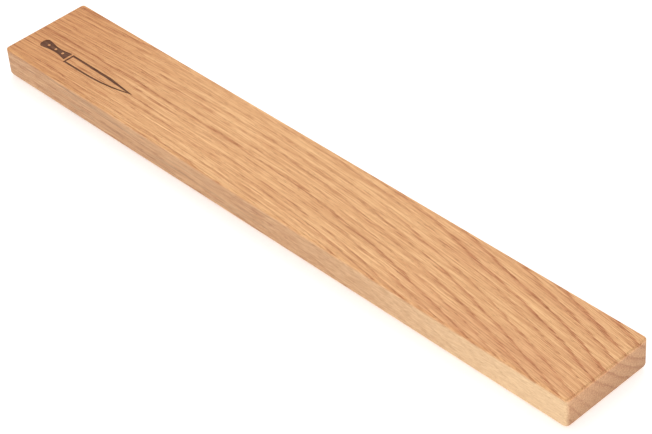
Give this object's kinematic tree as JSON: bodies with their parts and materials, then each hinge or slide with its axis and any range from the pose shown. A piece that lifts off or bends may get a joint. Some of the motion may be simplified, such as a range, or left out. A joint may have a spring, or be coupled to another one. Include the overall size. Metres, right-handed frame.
{
  "type": "magnetic knife rack",
  "caption": "Solid oak magnetic knife bar: hidden magnets and a steel keeper hold blades flat on the front, and keyhole plates in the back hang it on wall screws.",
  "frame": {"origin": "centre of the wall-side face, in the plane that touches the wall", "axes": "+X along the bar's length (the burnt mark is at the -X end), +Y up on the wall, +Z out of the wall, the way the knives face"},
  "size_m": [0.5, 0.068, 0.023],
  "materials": {
    "oak": "flat-sawn oak, sanded and oiled to a low satin",
    "plywood": "birch plywood, sanded, bare",
    "poplar": "planed poplar, bare",
    "nickel": "nickel-plated sintered magnet, satin-bright",
    "zinc_steel": "bright zinc-plated steel",
    "keeper_steel": "cold-rolled mild steel, lightly oiled"
  },
  "bodies": {
    "root": {"oak_body": "oak", "back_cover": "plywood", "packing_batten": "poplar", "keeper_plate": "keeper_steel", "hanger_plate_left": "zinc_steel", "hanger_plate_right": "zinc_steel", "magnet_upper_1": "nickel", "magnet_upper_2": "nickel", "magnet_upper_3": "nickel", "magnet_upper_4": "nickel", "magnet_upper_5": "nickel", "magnet_upper_6": "nickel", "magnet_upper_7": "nickel", "magnet_upper_8": "nickel", "magnet_lower_1": "nickel", "magnet_lower_2": "nickel", "magnet_lower_3": "nickel", "magnet_lower_4": "nickel", "magnet_lower_5": "nickel", "magnet_lower_6": "nickel", "magnet_lower_7": "nickel", "magnet_lower_8": "nickel", "cover_screw_1": "zinc_steel", "cover_screw_2": "zinc_steel", "cover_screw_3": "zinc_steel", "cover_screw_4": "zinc_steel", "cover_screw_5": "zinc_steel", "cover_screw_6": "zinc_steel", "cover_screw_7": "zinc_steel", "cover_screw_8": "zinc_steel", "hanger_screw_left_upper": "zinc_steel", "hanger_screw_left_lower": "zinc_steel", "hanger_screw_right_upper": "zinc_steel", "hanger_screw_right_lower": "zinc_steel"}
  },
  "joints": []
}
